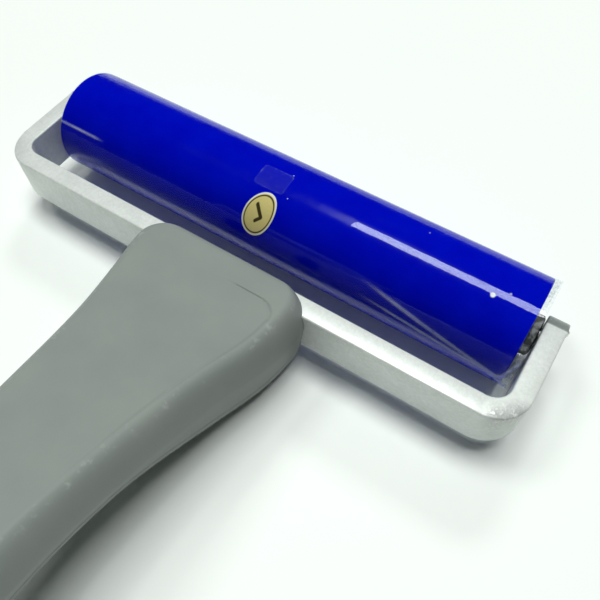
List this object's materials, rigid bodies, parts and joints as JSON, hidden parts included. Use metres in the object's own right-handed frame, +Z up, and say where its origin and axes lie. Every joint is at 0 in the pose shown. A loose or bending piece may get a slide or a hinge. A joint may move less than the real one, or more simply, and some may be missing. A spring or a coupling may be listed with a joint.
{
  "type": "silicone cleaning roller",
  "caption": "Tacky silicone dust roller under a clear film, spinning on ball bearings in a U-shaped metal bracket with a rising two-shell plastic handle.",
  "frame": {"origin": "on the plane the roller and the handle's nose stand on, below the middle of the bounding box", "axes": "+X along the roller to the user's right, +Y from the handle's tail to the roller, +Z up"},
  "size_m": [0.1666, 0.1815, 0.0546],
  "materials": {
    "satin_aluminium": "satin extruded flat bar, bent",
    "grey_plastic": "fine satin moulded texture",
    "zinc_steel": "bright zinc plate",
    "blackened_steel": "black oxide",
    "turned_aluminium": "turned",
    "blue_silicone": "smooth tacky silicone",
    "clear_film": "glossy clear wrap",
    "clear_tape": "clear tape",
    "gold_paper": "metallic gold printed paper",
    "bearing_steel": "ground",
    "pressed_steel": "pressed sheet",
    "cage_nylon": "moulded nylon"
  },
  "bodies": {
    "handle_frame": {"frame_bracket": "satin_aluminium", "handle_upper_shell": "grey_plastic", "handle_lower_shell": "grey_plastic", "bracket_screw_left": "zinc_steel", "bracket_screw_right": "zinc_steel", "cover_screw_1": "blackened_steel", "cover_screw_2": "blackened_steel", "cover_screw_3": "blackened_steel", "cover_screw_4": "blackened_steel", "axle_screw_left": "zinc_steel", "axle_screw_right": "zinc_steel", "hex_nut_left": "blackened_steel", "hex_nut_right": "blackened_steel", "bearing_left_inner_ring": "bearing_steel", "bearing_right_inner_ring": "bearing_steel"},
    "roller": {"core_tube": "turned_aluminium", "silicone_sleeve": "blue_silicone", "protective_film": "clear_film", "film_tape": "clear_tape", "inspection_sticker": "gold_paper", "bearing_left_outer_ring": "bearing_steel", "bearing_left_shield_outer": "pressed_steel", "bearing_left_shield_inner": "pressed_steel", "bearing_right_outer_ring": "bearing_steel", "bearing_right_shield_outer": "pressed_steel", "bearing_right_shield_inner": "pressed_steel"},
    "ball_train_left": {"bearing_left_cage": "cage_nylon", "bearing_left_ball_1": "bearing_steel", "bearing_left_ball_2": "bearing_steel", "bearing_left_ball_3": "bearing_steel", "bearing_left_ball_4": "bearing_steel", "bearing_left_ball_5": "bearing_steel", "bearing_left_ball_6": "bearing_steel", "bearing_left_ball_7": "bearing_steel"},
    "ball_train_right": {"bearing_right_cage": "cage_nylon", "bearing_right_ball_1": "bearing_steel", "bearing_right_ball_2": "bearing_steel", "bearing_right_ball_3": "bearing_steel", "bearing_right_ball_4": "bearing_steel", "bearing_right_ball_5": "bearing_steel", "bearing_right_ball_6": "bearing_steel", "bearing_right_ball_7": "bearing_steel"}
  },
  "joints": [
    {"name": "roller_spin", "type": "hinge", "parent": "handle_frame", "child": "roller", "pos_m": [0, 0.07512, 0.01565], "axis": [1, 0, 0], "continuous": true},
    {"name": "ball_train_left_spin", "type": "hinge", "parent": "handle_frame", "child": "ball_train_left", "pos_m": [-0.0692, 0.07512, 0.01565], "axis": [1, 0, 0], "continuous": true},
    {"name": "ball_train_right_spin", "type": "hinge", "parent": "handle_frame", "child": "ball_train_right", "pos_m": [0.0692, 0.07512, 0.01565], "axis": [1, 0, 0], "continuous": true}
  ],
  "couplings": [
    {"joint": "ball_train_left_spin", "follows": "roller_spin", "ratio": 0.62},
    {"joint": "ball_train_right_spin", "follows": "roller_spin", "ratio": 0.62}
  ]
}
